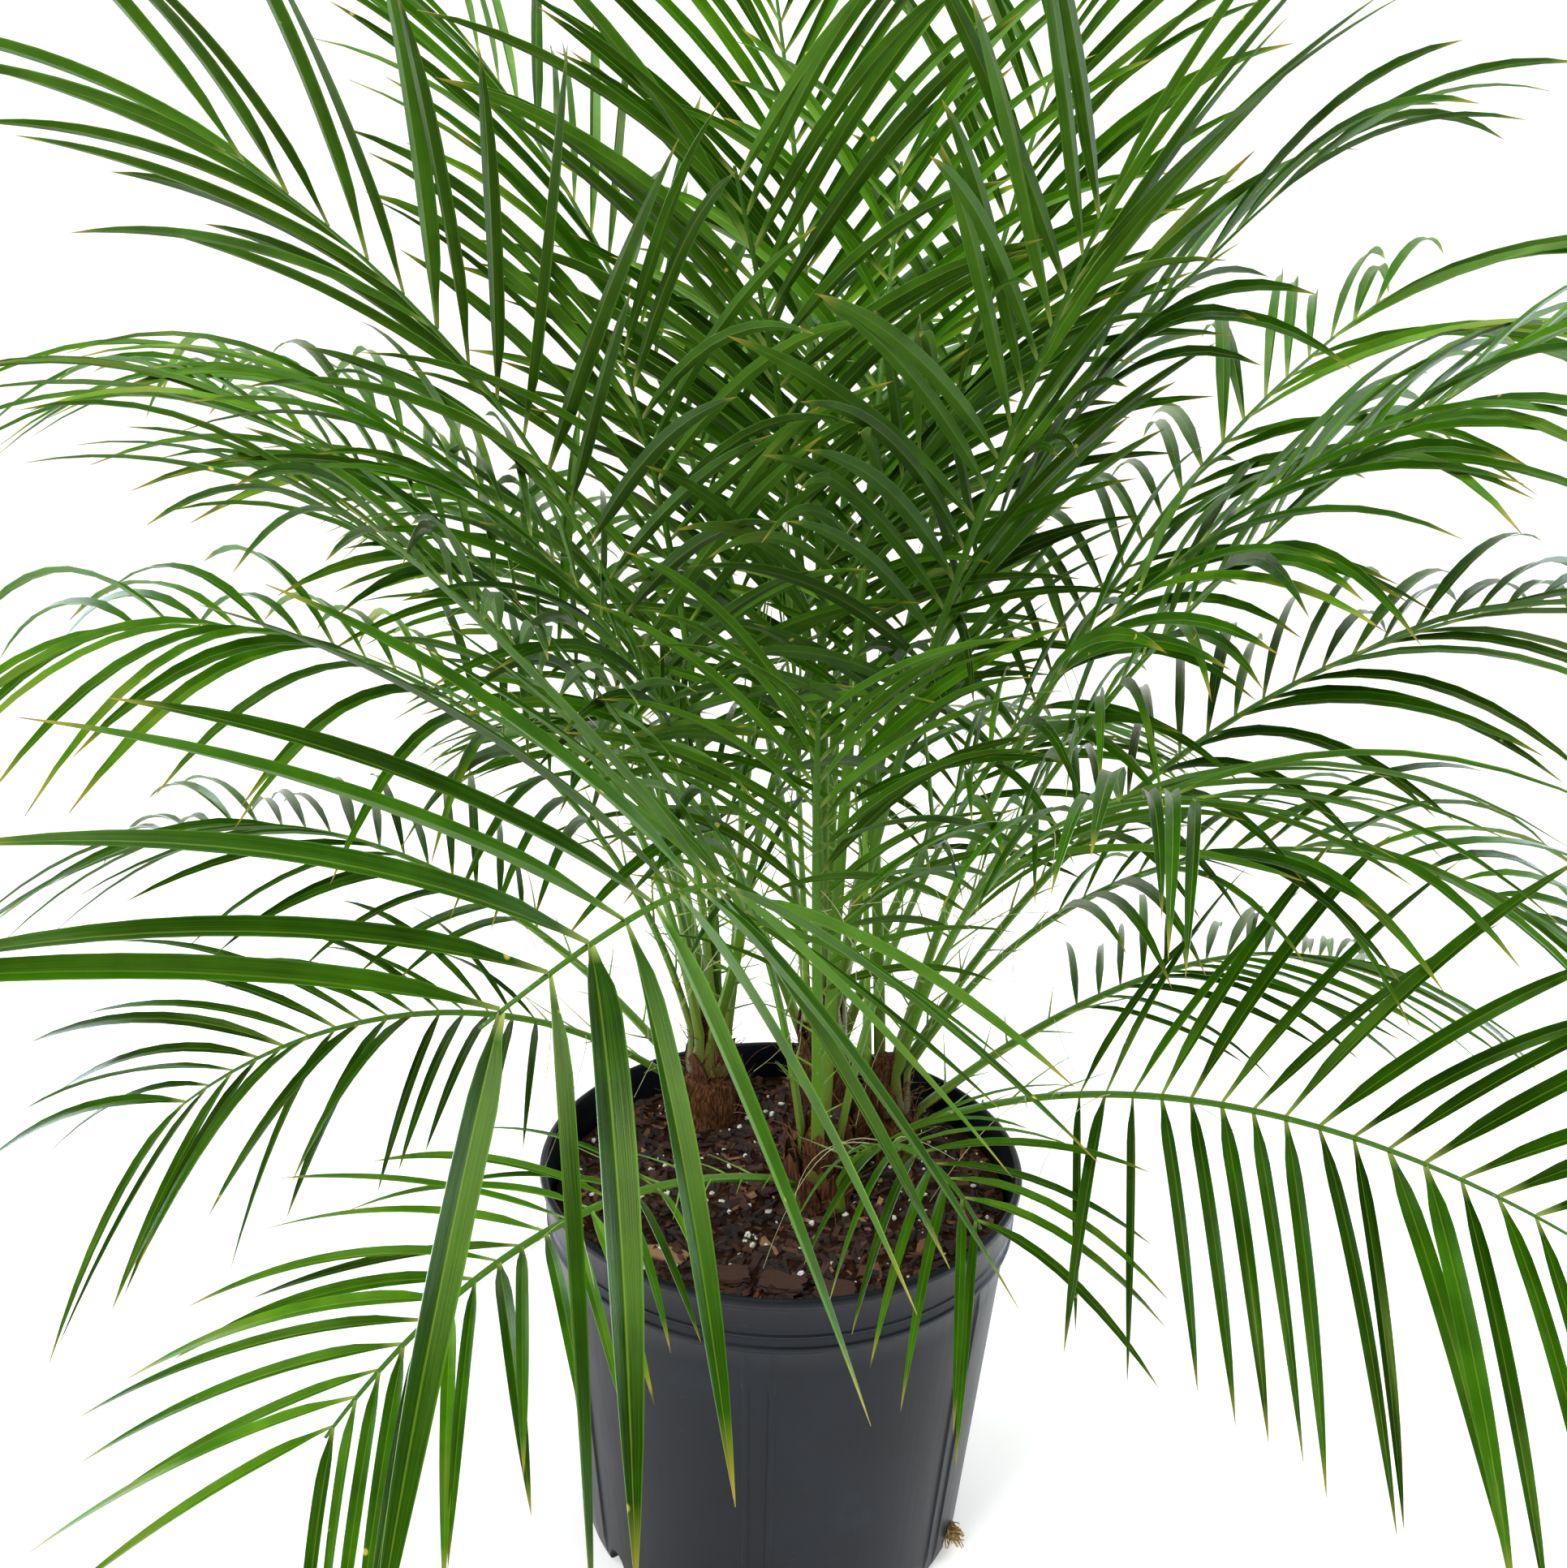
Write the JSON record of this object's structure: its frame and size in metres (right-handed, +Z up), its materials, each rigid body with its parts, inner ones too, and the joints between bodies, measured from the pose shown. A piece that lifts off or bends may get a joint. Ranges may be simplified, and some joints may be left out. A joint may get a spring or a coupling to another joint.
{
  "type": "potted feather palm",
  "caption": "Young clumping feather palm with arching, finely divided fronds, growing in bark mix in a round tapered nursery pot with a rolled rim.",
  "frame": {"origin": "centre of the pot's base, on the plane it stands on", "axes": "+Z up through the pot's axis; +X to the right and +Y to the back, seen from the front"},
  "size_m": [1.1367, 1.182, 1.0274],
  "materials": {
    "pot_plastic": "charcoal-black moulded polyethylene, satin, lightly scuffed",
    "bark_mix": null,
    "crown_fibre": "brown woven leaf-base fibre",
    "leaf": null,
    "young_leaf": "pale yellow-green unopened leaf",
    "bark": "rough damp pine bark",
    "root": "dry tan root"
  },
  "bodies": {
    "root": {"nursery_pot": "pot_plastic", "potting_mix": "bark_mix", "crown_a": "crown_fibre", "crown_b": "crown_fibre", "crown_c": "crown_fibre", "crown_d": "crown_fibre", "frond_a1": "leaf", "frond_a2": "leaf", "frond_a3": "leaf", "frond_a4": "leaf", "frond_a5": "leaf", "frond_a6": "leaf", "frond_a7": "leaf", "frond_a8": "leaf", "frond_a9": "leaf", "frond_a10": "leaf", "frond_a11": "leaf", "frond_b1": "leaf", "frond_b2": "leaf", "frond_b3": "leaf", "frond_b4": "leaf", "frond_b5": "leaf", "frond_b6": "leaf", "frond_b7": "leaf", "frond_b8": "leaf", "frond_b9": "leaf", "frond_c1": "leaf", "frond_c2": "leaf", "frond_c3": "leaf", "frond_c4": "leaf", "frond_c5": "leaf", "frond_c6": "leaf", "frond_c7": "leaf", "frond_c8": "leaf", "frond_d1": "leaf", "frond_d2": "leaf", "frond_d3": "leaf", "frond_d4": "leaf", "frond_d5": "leaf", "frond_d6": "leaf", "spear_a": "young_leaf", "spear_b": "young_leaf", "spear_c": "young_leaf", "bark_a": "bark", "bark_b": "bark", "bark_c": "bark", "bark_d": "bark", "stray_root": "root"}
  },
  "joints": []
}
